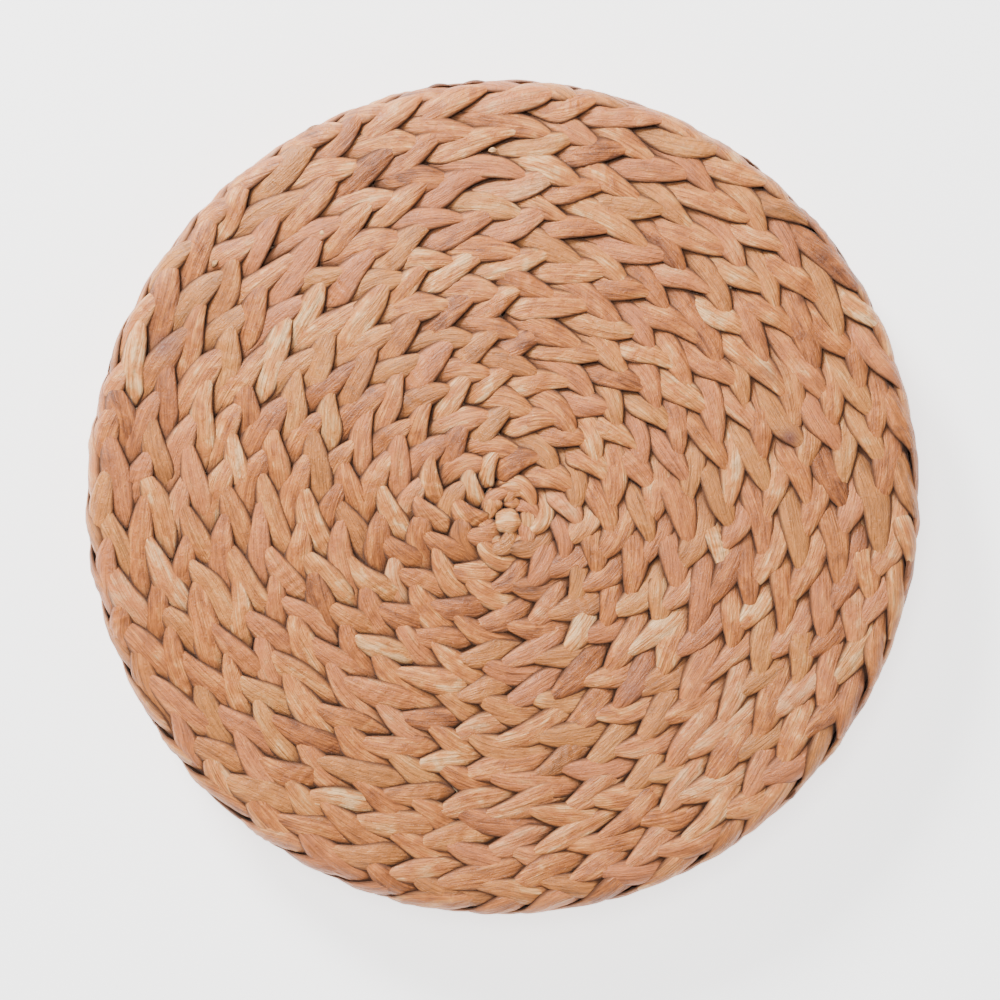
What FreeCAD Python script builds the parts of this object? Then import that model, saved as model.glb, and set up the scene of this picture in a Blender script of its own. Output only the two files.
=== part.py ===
import FreeCAD, Part
import math
import os
import Sketcher

# Round chair seat pad: a cover of flat three-strand braid, coiled into a top and a bottom disc and
# wound round the side wall, with sewing thread along the seams between its turns, and a foam disc in
# a thin cloth bag inside. Frame: +Z up, origin in the middle of the underside, millimetres.

ROUNDS = 10                  # whole turns of braid on each face
HALF_TURN = math.pi
AXIS, ORIGIN_POINT = -1, 1   # a sketch's horizontal axis and its origin, as constraints name them
START, END, CENTRE = 1, 2, 3

SIZES = [
    ("pad_diameter", 400.0),       # outside of the side wall
    ("pad_height", 54.0),          # underside to top face
    ("braid_thickness", 8.5),      # of one layer of braid
    ("round_pitch", 18.4),         # middle of one turn to the middle of the next
    ("side_round_width", 18.2),    # of the middle turn on the side wall
    ("braid_edge_radius", 2.5),    # rounding of the braid's edges, which makes the grooves
    ("shoulder_radius", 8.0),      # middle of the braid's thickness, where it bends over the rim
    ("frame_shift", 20.0),         # pad centre, measured from the frame that the coils are drawn in
    ("coil_start", 8.5),           # centre of the first half turn, in that frame
    ("coil_drift", 0.42),          # the half turns' centres move this much a turn, towards the pad centre
    ("first_radius", 21.5),        # outline of the first half turn
    ("coil_direction", 107.0),     # degrees, from the coil's start towards the pad centre
    ("turn_gap", 0.3),             # between a turn's end and its own start
    ("seam_gap", 0.1),             # between neighbouring turns
    ("thread_diameter", 1.0),
    ("thread_depth", 0.8),         # middle of a thread below the surface, in its groove
    ("thread_clearance", 0.05),    # under a thread that lies on the surface
    ("liner_thickness", 0.8),
    ("liner_gap", 0.2),            # between the cover and the cloth bag
    ("liner_corner_radius", 8.0),
    ("foam_gap", 0.2),             # between the bag and the foam
    ("foam_edge_radius", 7.0),
]

doc = FreeCAD.newDocument("braided_seat_pad")


# ---------------------------------------------------------------- driving dimensions
def make_sheet():
    sheet = doc.addObject("Spreadsheet::Sheet", "Sizes")
    for row, (alias, value) in enumerate(SIZES, start=1):
        sheet.set(f"A{row}", alias)
        sheet.set(f"B{row}", str(value))
        sheet.setAlias(f"B{row}", alias)
    doc.recompute()
    return sheet


sizes = make_sheet()


class Length:
    """A length as the expression that drives the document, and its value for a first shape."""

    def __init__(self, expression, value):
        self.expression = expression
        self.value = value

    def __add__(self, other):
        return Length(f"{self.expression} + {other.expression}", self.value + other.value)

    def __sub__(self, other):
        return Length(f"{self.expression} - ({other.expression})", self.value - other.value)

    def times(self, factor):
        return Length(f"({self.expression}) * {factor}", self.value * factor)


def cell(alias):
    return Length(f"Sizes.{alias}", float(getattr(sizes, alias)))


ZERO = Length("0", 0.0)
HEIGHT = cell("pad_height")
THICKNESS = cell("braid_thickness")
PITCH = cell("round_pitch")
DRIFT = cell("coil_drift")
SEAM = cell("seam_gap")
THREAD_RADIUS = cell("thread_diameter").times(0.5)
PAD_RADIUS = cell("pad_diameter").times(0.5)
WALL_INSIDE = PAD_RADIUS - THICKNESS
FLAT_RADIUS = PAD_RADIUS - THICKNESS.times(0.5) - cell("shoulder_radius")
PAD_CENTRE = cell("frame_shift")


# ---------------------------------------------------------------- a coil's outline
# Seen from its own outer face, a coil winds outward clockwise. Its outline is two half circles to a
# turn, one on each side of the line from the pad centre through the coil's start: an "a" half below
# the line and a "b" half above it. All centres lie on that line, so the outline has no kinks.
def a_centre(turn):
    return cell("coil_start") + DRIFT.times(turn - 1)


def b_centre(turn):
    return a_centre(turn) + PITCH.times(0.5) + DRIFT.times(0.5)


def a_radius(turn):
    return cell("first_radius") + PITCH.times(turn - 1)


def b_radius(turn):
    return cell("first_radius") + PITCH.times(turn - 0.5) + DRIFT.times(0.5)


def rim_crossing():
    """Angles, about both centres, at which the tenth turn's outline meets the flat face's edge."""
    radius = a_radius(ROUNDS).value
    offset = a_centre(ROUNDS).value - PAD_CENTRE.value
    flat = FLAT_RADIUS.value
    across = (flat ** 2 - radius ** 2 + offset ** 2) / (2 * offset)
    down = -math.sqrt(flat ** 2 - across ** 2)
    about_coil = math.atan2(down, across - offset) + 2 * HALF_TURN
    about_pad = math.atan2(down, across) + 2 * HALF_TURN
    return about_coil, about_pad


# ---------------------------------------------------------------- sketches
def new_body(label):
    body = doc.addObject("PartDesign::Body", label)
    body.Label = label
    return body


def origin_feature(body, role):
    return next(feature for feature in body.Origin.OriginFeatures if feature.Role == role)


def new_sketch(body, name, plane):
    sketch = body.newObject("Sketcher::SketchObject", name)
    sketch.AttachmentSupport = (origin_feature(body, plane), [""])
    sketch.MapMode = "FlatFace"
    return sketch


def bind(sketch, name, length, kind, *places):
    """A dimension driven by the sheet."""
    index = sketch.addConstraint(Sketcher.Constraint(kind, *places, length.value))
    sketch.renameConstraint(index, name)
    sketch.setExpression(f"Constraints.{name}", length.expression)


def tie(sketch, kind, *places):
    sketch.addConstraint(Sketcher.Constraint(kind, *places))


def add_arc(sketch, name, centre, radius, first, last):
    """An arc between two angles, about a centre on the sketch's horizontal axis."""
    circle = Part.Circle(FreeCAD.Vector(centre.value, 0, 0), FreeCAD.Vector(0, 0, 1), radius.value)
    arc = sketch.addGeometry(Part.ArcOfCircle(circle, first, last), False)
    tie(sketch, "PointOnObject", arc, CENTRE, AXIS)
    bind(sketch, f"{name}_centre", centre, "DistanceX", AXIS, ORIGIN_POINT, arc, CENTRE)
    bind(sketch, f"{name}_radius", radius, "Radius", arc)
    return arc


def lift_end(sketch, name, arc, point):
    """Keeps an arc's end off the axis by the gap between a turn's end and its start."""
    bind(sketch, f"{name}_gap", cell("turn_gap"), "DistanceY", AXIS, ORIGIN_POINT, arc, point)


def join_ends(sketch, first, first_point, second, second_point):
    begin = sketch.getPoint(first, first_point)
    finish = sketch.getPoint(second, second_point)
    line = sketch.addGeometry(Part.LineSegment(begin, finish), False)
    tie(sketch, "Coincident", line, START, first, first_point)
    tie(sketch, "Coincident", line, END, second, second_point)


def half_a(sketch, name, turn, radius):
    arc = add_arc(sketch, name, a_centre(turn), radius, HALF_TURN, 2 * HALF_TURN)
    tie(sketch, "PointOnObject", arc, START, AXIS)
    tie(sketch, "PointOnObject", arc, END, AXIS)
    return arc


def half_b(sketch, name, turn, radius):
    lift = math.asin(cell("turn_gap").value / radius.value)
    arc = add_arc(sketch, name, b_centre(turn), radius, lift, HALF_TURN)
    lift_end(sketch, name, arc, START)
    tie(sketch, "PointOnObject", arc, END, AXIS)
    return arc


def draw_start(sketch):
    """The tucked start: the half disc inside the first turn."""
    radius = b_radius(0)
    lift = math.asin(cell("turn_gap").value / radius.value)
    arc = add_arc(sketch, "curl", b_centre(0), radius, lift, HALF_TURN - lift)
    lift_end(sketch, "curl_first", arc, START)
    lift_end(sketch, "curl_last", arc, END)
    join_ends(sketch, arc, END, arc, START)


def draw_round(sketch, turn):
    """One whole turn, between the outline of the turn before and its own."""
    if turn < ROUNDS:
        outer_a = half_a(sketch, "outer_a", turn, a_radius(turn))
        outer_b = half_b(sketch, "outer_b", turn, b_radius(turn))
    else:
        about_coil, about_pad = rim_crossing()
        outer_a = add_arc(sketch, "outer_a", a_centre(turn), a_radius(turn), about_coil, 2 * HALF_TURN)
        tie(sketch, "PointOnObject", outer_a, END, AXIS)
        lift = math.asin(cell("turn_gap").value / FLAT_RADIUS.value)
        outer_b = add_arc(sketch, "rim", PAD_CENTRE, FLAT_RADIUS, lift, about_pad)
        lift_end(sketch, "rim", outer_b, START)
        tie(sketch, "Coincident", outer_a, START, outer_b, END)
    inner_b = half_b(sketch, "inner_b", turn - 1, b_radius(turn - 1) + SEAM)
    join_ends(sketch, outer_b, START, inner_b, START)
    if turn > 1:
        inner_a = half_a(sketch, "inner_a", turn - 1, a_radius(turn - 1) + SEAM)
        join_ends(sketch, inner_a, END, outer_a, END)
    else:
        join_ends(sketch, inner_b, END, outer_a, END)


def draw_last_stretch(sketch):
    """The stretch that runs out at the rim, between the tenth turn and the flat face's edge."""
    about_coil, about_pad = rim_crossing()
    inner = add_arc(sketch, "inner", a_centre(ROUNDS), a_radius(ROUNDS) + SEAM, about_coil, 2 * HALF_TURN)
    rim = add_arc(sketch, "rim", PAD_CENTRE, FLAT_RADIUS, about_pad, 2 * HALF_TURN)
    tie(sketch, "PointOnObject", inner, END, AXIS)
    tie(sketch, "PointOnObject", rim, END, AXIS)
    tie(sketch, "Coincident", inner, START, rim, START)
    join_ends(sketch, inner, END, rim, END)


def draw_thread_path(sketch):
    """The seams between the turns of a coil, from the end of the first half turn to the rim."""
    for turn in range(1, ROUNDS):
        half_a(sketch, f"path_a{turn}", turn, a_radius(turn))
        arc = add_arc(sketch, f"path_b{turn}", b_centre(turn), b_radius(turn), 0, HALF_TURN)
        tie(sketch, "PointOnObject", arc, START, AXIS)
        tie(sketch, "PointOnObject", arc, END, AXIS)


def draw_circle(sketch, across, up, radius):
    middle = FreeCAD.Vector(across.value, up.value, 0)
    circle = sketch.addGeometry(Part.Circle(middle, FreeCAD.Vector(0, 0, 1), radius.value), False)
    bind(sketch, "radius", radius, "Radius", circle)
    bind(sketch, "across", across, "DistanceX", AXIS, ORIGIN_POINT, circle, CENTRE)
    bind(sketch, "up", up, "DistanceY", AXIS, ORIGIN_POINT, circle, CENTRE)


def draw_section(sketch, corners, bends):
    """A closed section: its corners as (across, up), and the bend radius of each curved side.
    A bend starts at the corner that it is listed under and turns clockwise if it is negative."""
    points = [FreeCAD.Vector(across.value, up.value, 0) for across, up in corners]
    sides = []
    for number, begin in enumerate(points):
        finish = points[(number + 1) % len(points)]
        if number in bends:
            sides.append(sketch.addGeometry(quarter_arc(begin, finish, bends[number].value), False))
            bind(sketch, f"bend_{number}", Length(*positive(bends[number])), "Radius", sides[-1])
        else:
            sides.append(sketch.addGeometry(Part.LineSegment(begin, finish), False))
    for number, side in enumerate(sides):
        following = (number + 1) % len(sides)
        across, up = corners[number]
        start = side_start(bends, number)
        next_start = side_start(bends, following)
        tie(sketch, "Coincident", side, side_end(bends, number), sides[following], next_start)
        bind(sketch, f"across_{number}", across, "DistanceX", AXIS, ORIGIN_POINT, side, start)
        bind(sketch, f"up_{number}", up, "DistanceY", AXIS, ORIGIN_POINT, side, start)


def positive(length):
    if length.value < 0:
        length = length.times(-1)
    return length.expression, length.value


def side_start(bends, number):
    """Sketch arcs always run counterclockwise, so a clockwise bend starts at its second point."""
    return END if number in bends and bends[number].value < 0 else START


def side_end(bends, number):
    return START if number in bends and bends[number].value < 0 else END


def quarter_arc(begin, finish, radius):
    chord = finish - begin
    side = 1.0 if radius > 0 else -1.0
    centre = begin + chord.multiply(0.5) + FreeCAD.Vector(-chord.y, chord.x, 0).multiply(side)
    first, last = (begin, finish) if radius > 0 else (finish, begin)
    first_angle = math.atan2(first.y - centre.y, first.x - centre.x)
    last_angle = math.atan2(last.y - centre.y, last.x - centre.x)
    circle = Part.Circle(centre, FreeCAD.Vector(0, 0, 1), abs(radius))
    return Part.ArcOfCircle(circle, first_angle, last_angle)


# ---------------------------------------------------------------- bodies
def round_edges(body, base, wanted, radius):
    """Rounds the circular edges of the base feature that the test picks out."""
    doc.recompute()
    names = []
    for number, edge in enumerate(base.Shape.Edges, start=1):
        level = edge.BoundBox.ZLength < 1e-6
        if level and isinstance(edge.Curve, Part.Circle) and wanted(edge):
            names.append(f"Edge{number}")
    fillet = body.newObject("PartDesign::Fillet", f"{body.Label}_rounding")
    fillet.Base = (base, names)
    fillet.setExpression("Radius", radius.expression)
    body.Tip = fillet


def place_coil(body, face):
    """Puts a coil's frame on the pad. The bottom coil is the top one turned over about its own line."""
    turn = FreeCAD.Rotation(FreeCAD.Vector(0, 0, 1), cell("coil_direction").value)
    inner_face = HEIGHT - THICKNESS
    if face == "bottom":
        turn = turn.multiply(FreeCAD.Rotation(FreeCAD.Vector(1, 0, 0), 180))
        inner_face = THICKNESS
    body.Placement = FreeCAD.Placement(turn.multVec(FreeCAD.Vector(-PAD_CENTRE.value, 0, 0)), turn)
    body.setExpression("Placement.Base.z", inner_face.expression)


def braid_piece(label, face, draw, rounded=True):
    body = new_body(label)
    sketch = new_sketch(body, f"{label}_outline", "XY_Plane")
    draw(sketch)
    doc.recompute()
    pad = body.newObject("PartDesign::Pad", f"{label}_pad")
    pad.Profile = sketch
    pad.setExpression("Length", THICKNESS.expression)
    body.Tip = pad
    if rounded:
        round_edges(body, pad, lambda edge: True, cell("braid_edge_radius"))
    place_coil(body, face)
    return body


def coil(face):
    pieces = [braid_piece(f"{face}_braid_start", face, draw_start)]
    for turn in range(1, ROUNDS + 1):
        label = f"{face}_braid_round_{turn:02d}"
        pieces.append(braid_piece(label, face, lambda sketch, turn=turn: draw_round(sketch, turn)))
    pieces.append(braid_piece(f"{face}_braid_last_stretch", face, draw_last_stretch, rounded=False))
    return pieces


def coil_thread(face):
    """One thread along the whole seam of a coil, sunk in the groove on its inner face."""
    body = new_body(f"{face}_seam_thread")
    path = new_sketch(body, f"{face}_thread_path", "XY_Plane")
    path.setExpression("AttachmentOffset.Base.z", cell("thread_depth").expression)
    draw_thread_path(path)
    section = new_sketch(body, f"{face}_thread_section", "XZ_Plane")
    draw_circle(section, a_centre(1) + a_radius(1), cell("thread_depth"), THREAD_RADIUS)
    doc.recompute()
    thread = body.newObject("PartDesign::AdditivePipe", f"{face}_thread")
    thread.Profile = section
    thread.Spine = path
    body.Tip = thread
    place_coil(body, face)
    return body


def turned_piece(label, draw):
    """A ring or disc turned about the pad's axis."""
    body = new_body(label)
    section = new_sketch(body, f"{label}_section", "XZ_Plane")
    draw(section)
    doc.recompute()
    turned = body.newObject("PartDesign::Revolution", f"{label}_turned")
    turned.Profile = section
    turned.ReferenceAxis = (origin_feature(body, "Z_Axis"), [""])
    turned.Angle = 360
    body.Tip = turned
    return body


def ring_thread(label, radius, up):
    return turned_piece(label, lambda section: draw_circle(section, radius, up, THREAD_RADIUS))


SIDE_TOP = HEIGHT.times(0.5) + cell("side_round_width").times(0.5)
SIDE_BOTTOM = HEIGHT.times(0.5) - cell("side_round_width").times(0.5)


def mirrored(corners):
    """The same section on the other half of the pad's height."""
    return [(across, HEIGHT - up) for across, up in corners]


def shoulder_round(label, upper):
    """A turn that bends from the flat face over the rim into the side wall."""
    edge = FLAT_RADIUS + SEAM
    outer_bend = PAD_RADIUS - edge
    inner_bend = WALL_INSIDE - edge
    foot = SIDE_TOP + SEAM
    corners = [
        (edge, HEIGHT - THICKNESS), (WALL_INSIDE, HEIGHT - THICKNESS - inner_bend), (WALL_INSIDE, foot),
        (PAD_RADIUS, foot), (PAD_RADIUS, HEIGHT - outer_bend), (edge, HEIGHT),
    ]
    sign = 1 if upper else -1
    bends = {0: inner_bend.times(-sign), 4: outer_bend.times(sign)}
    outline = corners if upper else mirrored(corners)
    body = turned_piece(label, lambda section: draw_section(section, outline, bends))
    wall_foot = outline[3][1].value
    round_edges(body, body.Tip, lambda edge: abs(edge.Curve.Center.z - wall_foot) < SEAM.value,
                cell("braid_edge_radius"))
    return body


def wall_round(label):
    """The turn in the middle of the side wall."""
    lower = [(WALL_INSIDE, SIDE_BOTTOM), (PAD_RADIUS, SIDE_BOTTOM)]
    upper = [(PAD_RADIUS, SIDE_TOP), (WALL_INSIDE, SIDE_TOP)]
    corners = lower + upper
    body = turned_piece(label, lambda section: draw_section(section, corners, {}))
    round_edges(body, body.Tip, lambda edge: True, cell("braid_edge_radius"))
    return body


# ---------------------------------------------------------------- the parts
def make_side():
    return [
        shoulder_round("side_braid_round_1", upper=True),
        wall_round("side_braid_round_2"),
        shoulder_round("side_braid_round_3", upper=False),
    ]


def make_side_threads():
    wall_groove = WALL_INSIDE + cell("thread_depth")
    on_face = THICKNESS + THREAD_RADIUS + cell("thread_clearance")
    half_seam = SEAM.times(0.5)
    return [
        ring_thread("rim_seam_thread", FLAT_RADIUS, HEIGHT - on_face),
        ring_thread("side_seam_thread_upper", wall_groove, SIDE_TOP + half_seam),
        ring_thread("side_seam_thread_lower", wall_groove, SIDE_BOTTOM - half_seam),
        ring_thread("closing_seam_thread", FLAT_RADIUS, on_face),
    ]


LINER_RADIUS = WALL_INSIDE - cell("liner_gap")
LINER_TOP = HEIGHT - THICKNESS - cell("liner_gap")
LINER_CORNER = cell("liner_corner_radius")
CLOTH = cell("liner_thickness")


def liner_panel(label, upper):
    """A round panel with its rim turned towards the side band."""
    corners = [
        (ZERO, LINER_TOP - CLOTH), (LINER_RADIUS - LINER_CORNER, LINER_TOP - CLOTH),
        (LINER_RADIUS - CLOTH, LINER_TOP - LINER_CORNER), (LINER_RADIUS, LINER_TOP - LINER_CORNER),
        (LINER_RADIUS - LINER_CORNER, LINER_TOP), (ZERO, LINER_TOP),
    ]
    sign = 1 if upper else -1
    bends = {1: (LINER_CORNER - CLOTH).times(-sign), 3: LINER_CORNER.times(sign)}
    outline = corners if upper else mirrored(corners)
    return turned_piece(label, lambda section: draw_section(section, outline, bends))


def liner_band(label):
    top = LINER_TOP - LINER_CORNER - SEAM
    bottom = HEIGHT - top
    inside = LINER_RADIUS - CLOTH
    corners = [(inside, bottom), (LINER_RADIUS, bottom), (LINER_RADIUS, top), (inside, top)]
    return turned_piece(label, lambda section: draw_section(section, corners, {}))


def foam_core(label):
    top = LINER_TOP - CLOTH - cell("foam_gap")
    bottom = HEIGHT - top
    radius = LINER_RADIUS - CLOTH - cell("foam_gap")
    corners = [(ZERO, bottom), (radius, bottom), (radius, top), (ZERO, top)]
    body = turned_piece(label, lambda section: draw_section(section, corners, {}))
    round_edges(body, body.Tip, lambda edge: True, cell("foam_edge_radius"))
    return body


def make_filling():
    return [
        liner_panel("liner_top_panel", upper=True),
        liner_band("liner_side_band"),
        liner_panel("liner_bottom_panel", upper=False),
        foam_core("foam_core"),
    ]


parts = coil("top") + make_side() + coil("bottom")
parts += [coil_thread("top"), coil_thread("bottom")] + make_side_threads() + make_filling()
doc.recompute()


# ---------------------------------------------------------------- checks and export
def check_document():
    for item in doc.Objects:
        if "Invalid" in item.State or "Error" in item.State:
            raise RuntimeError(f"{item.Label} did not recompute")
    for part in parts:
        if part.Shape.isNull() or not part.Shape.isValid() or not part.Shape.Solids:
            raise RuntimeError(f"{part.Label} has no valid solid")


check_document()
os.makedirs("parts", exist_ok=True)
for part in parts:
    part.Shape.exportStep(f"parts/{part.Label}.step")
    print(part.Label, len(part.Shape.Solids), "solid,", round(part.Shape.Volume), "mm3")
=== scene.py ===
import math

import bpy
import numpy as np
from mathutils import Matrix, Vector


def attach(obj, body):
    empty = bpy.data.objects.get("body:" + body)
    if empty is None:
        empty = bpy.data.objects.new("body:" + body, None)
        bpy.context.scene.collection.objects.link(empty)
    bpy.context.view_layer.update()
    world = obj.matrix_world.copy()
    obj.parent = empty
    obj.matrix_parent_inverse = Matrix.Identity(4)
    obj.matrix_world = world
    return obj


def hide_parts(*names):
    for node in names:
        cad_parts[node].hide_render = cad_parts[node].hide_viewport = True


# Round seat pad of three-strand leaf braid. Lengths are millimetres until a mesh is made.
# Materials, sheets, lights and the camera are in metres.

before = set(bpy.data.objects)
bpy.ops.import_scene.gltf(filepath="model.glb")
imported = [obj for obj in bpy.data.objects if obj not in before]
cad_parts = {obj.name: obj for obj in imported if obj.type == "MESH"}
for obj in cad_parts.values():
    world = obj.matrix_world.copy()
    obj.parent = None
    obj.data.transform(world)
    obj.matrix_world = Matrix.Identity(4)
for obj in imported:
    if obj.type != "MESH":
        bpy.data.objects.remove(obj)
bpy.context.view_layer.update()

MM = 0.001
TURN = 2 * math.pi

# ---------------------------------------------------------------- the pad
PAD_RADIUS = 200.0
PAD_HEIGHT = 54.0
LAYER = 8.5                      # thickness of one layer of braid
SHOULDER = 8.0                   # bend over the rim, at the middle of the layer
CROWN = 2.5                      # the top face stands this much higher at its middle
WALL_SWELL = 1.2                 # the side stands this much further out at half height
FLAT = PAD_RADIUS - LAYER / 2 - SHOULDER
MID_TOP = PAD_HEIGHT - LAYER / 2
WALL = PAD_HEIGHT - LAYER - 2 * SHOULDER
BEND = SHOULDER * math.pi / 2
PROFILE = 2 * FLAT + 2 * BEND + WALL

# ---------------------------------------------------------------- the coils
COIL_AZIMUTH = math.radians(107.0)   # of turn 0
PITCH = 18.4                     # from one turn of braid to the next on a face
FIRST_SHARE = 0.417              # the middle line's distance from its centre at turn 0, in pitches
FACE_TURNS = 10.0
COIL_OFFSET = -6.9               # the coil's centre from the pad's centre, along its azimuth
COIL_DRIFT = 0.42                # it moves this much a turn
SETTLING = 7.6                   # the turn where it starts to move back to the pad's centre
SETTLED = 10.4                   # and the turn where it is there
TOP_END = 12.0                   # turns of the top braid, the two on the wall included
BOTTOM_END = 11.0
FACE_REACH = PITCH * (FACE_TURNS + FIRST_SHARE)
SIDE_PITCH = (PROFILE - 2 * FACE_REACH) / (TOP_END + BOTTOM_END - 2 * FACE_TURNS)
START_TURN = -0.14

# ---------------------------------------------------------------- the braid
LEAF_SPAN = 3.35                 # of a strand's whole turn of phase, 2 pi
LEAF_THICKNESS = 3.4
INNER_WIDTH = 14.4               # leaves of the side toward the pad's middle
OUTER_WIDTH = 14.2
INNER_PATH = (-8.6, 2.8)         # across the braid, from a leaf's start to its tip
OUTER_PATH = (8.8, -1.4)
FULL_START = 0.82                # below 1, a leaf is widest before its middle
LEAF_ENDS = (0.004, 0.996)       # a leaf's rings run between these shares of its length
SPAN_RANGE = (0.95, 1.05)        # one leaf's length, in usual lengths
SIZE_SPREAD = 0.07
SIZE_RANGE = (0.86, 1.14)        # one leaf's width, in usual widths
FULL_RANGE = (0.82, 0.98)        # a power: below 1, a leaf is thickest before its middle
POINT_WIDTH = 0.02               # of the full width, at a leaf's two points
POINT_THICKNESS = 0.16
THICKNESS_RANGE = (0.75, 1.2)
ASIDE_SPREAD = 0.35              # how far one leaf's middle lies off its path
LIFT_SPREAD = 0.16
ROLL_SPREAD = math.radians(3.5)
FOLDS = ((0.30, 0.10), (0.20, 0.07), (0.16, 0.06))   # usual depth and width of its lengthwise folds
DEEPEST_FOLD = 0.55
DEEPEST_PUCKER = 0.3
BOW = 1.1                        # a leaf's middle bows to its own side
LIFT_PLACES = [0.0, 0.15, 0.3, 0.5, 0.65, 0.85, 1.0]
LIFT_HEIGHTS = [-1.3, -0.7, 0.3, 1.3, 1.7, 1.5, 0.9]
LEAN = 0.35                      # each turn's inner edge stands this much up on the turn inside it
ROLL = math.radians(7.0)
BACKING_WIDTH = 21.0             # the hidden layer under a turn's leaves
BACKING_THICKNESS = 2.6
BACKING_LEVEL = -2.7
HIDDEN_STEPS = 150               # rings of it in a turn
FLOOR_SOFTNESS = 0.7             # this much of the underside flattens on what it rests on
LAY_AT = [0.0, 14.0, 29.0, 48.0, 95.0, 150.0, 200.0]      # distances from the coil's centre
LAY_LENGTH = [32.0, 38.0, 54.0, 63.0, 78.0, 87.0, 88.0]   # of a strand's whole turn of phase, there
STEPS_PER_TURN = 900
WANDER = 0.7                     # how far the braid's line strays aside, and over what length
WANDER_LENGTH = 170.0
UNEVEN_LAY = 0.28                # how far the leaves run ahead or behind, as phase, and over what length
UNEVEN_LENGTH = 95.0
START_SCALE = 0.62               # the braid's width at its start, in full widths

SCRAPS = [                       # x, y, length, width, rise and tone of each cut end that shows
    (-136.4, 110.7, 4.6, 2.6, 2.6, 1.25),
    (-85.4, 125.0, 5.0, 2.8, 2.8, 1.25),
    (-4.9, 164.2, 4.4, 2.6, 2.7, 1.25),
    (-31.0, 195.0, 13.0, 3.2, 2.9, -0.1),
    (-13.5, 196.5, 15.0, 3.2, 2.6, -0.1),
    (-90.0, 173.5, 12.0, 3.0, 2.9, -0.05),
    (136.5, -141.5, 9.0, 2.8, 2.8, 0.0),
]

# ---------------------------------------------------------------- the coil's start
KNOB_MIDDLE = (2.3, -11.4)
KNOB_RADIUS = 6.6
KNOB_RISE = 4.1
START_LEAVES = [                 # tail, tip, width, rise
    ((-5.6, 4.6), (-7.4, -11.8), 8.4, 1.3),
    ((-3.2, -0.2), (-2.4, -6.8), 4.8, 2.1),
    ((-0.4, -3.2), (9.6, -3.4), 6.2, 1.2),
    ((10.6, -2.6), (11.6, -17.6), 8.0, 1.5),
    ((-12.2, -10.4), (-3.8, -19.0), 9.4, 0.9),
    ((-7.2, -23.4), (2.4, -20.4), 7.4, 0.7),
    ((2.4, -27.4), (13.8, -18.2), 9.6, 0.8),
    ((-3.4, 3.2), (15.0, 2.0), 8.0, 1.5),
]


def smooth(value):
    value = np.clip(value, 0.0, 1.0)
    return value * value * (3 - 2 * value)


def surface(s, crown):
    """Radius, height and normal of the cover's middle surface, s from the centre of its face."""
    past = FLAT + BEND
    upper = np.clip(s - FLAT, 0, BEND) / SHOULDER
    lower = np.clip(s - past - WALL, 0, BEND) / SHOULDER
    down = np.clip(s - past, 0, WALL)
    beyond = np.maximum(s - past - WALL - BEND, 0)
    radius = np.minimum(s, FLAT) + SHOULDER * (np.sin(upper) - 1 + np.cos(lower)) - beyond
    radius = np.where(s < FLAT, s, radius)
    height = MID_TOP - SHOULDER * (1 - np.cos(upper)) - down - SHOULDER * np.sin(lower)
    height = height + crown * (1 - np.minimum(s / FLAT, 1) ** 2)
    radius = radius + WALL_SWELL * np.sin(math.pi * np.clip((s - FLAT) / (2 * BEND + WALL), 0, 1))
    tilt = upper + lower
    return radius, height, np.sin(tilt), np.cos(tilt)


def wave(position, wavelength, height, rng):
    """A smooth irregular wave along a line."""
    total = np.zeros_like(position)
    for share in (1.0, 0.61, 0.37):
        total += share * np.sin(TURN * position / (wavelength * share) + rng.uniform(0, TURN))
    return total * height / 1.3


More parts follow.
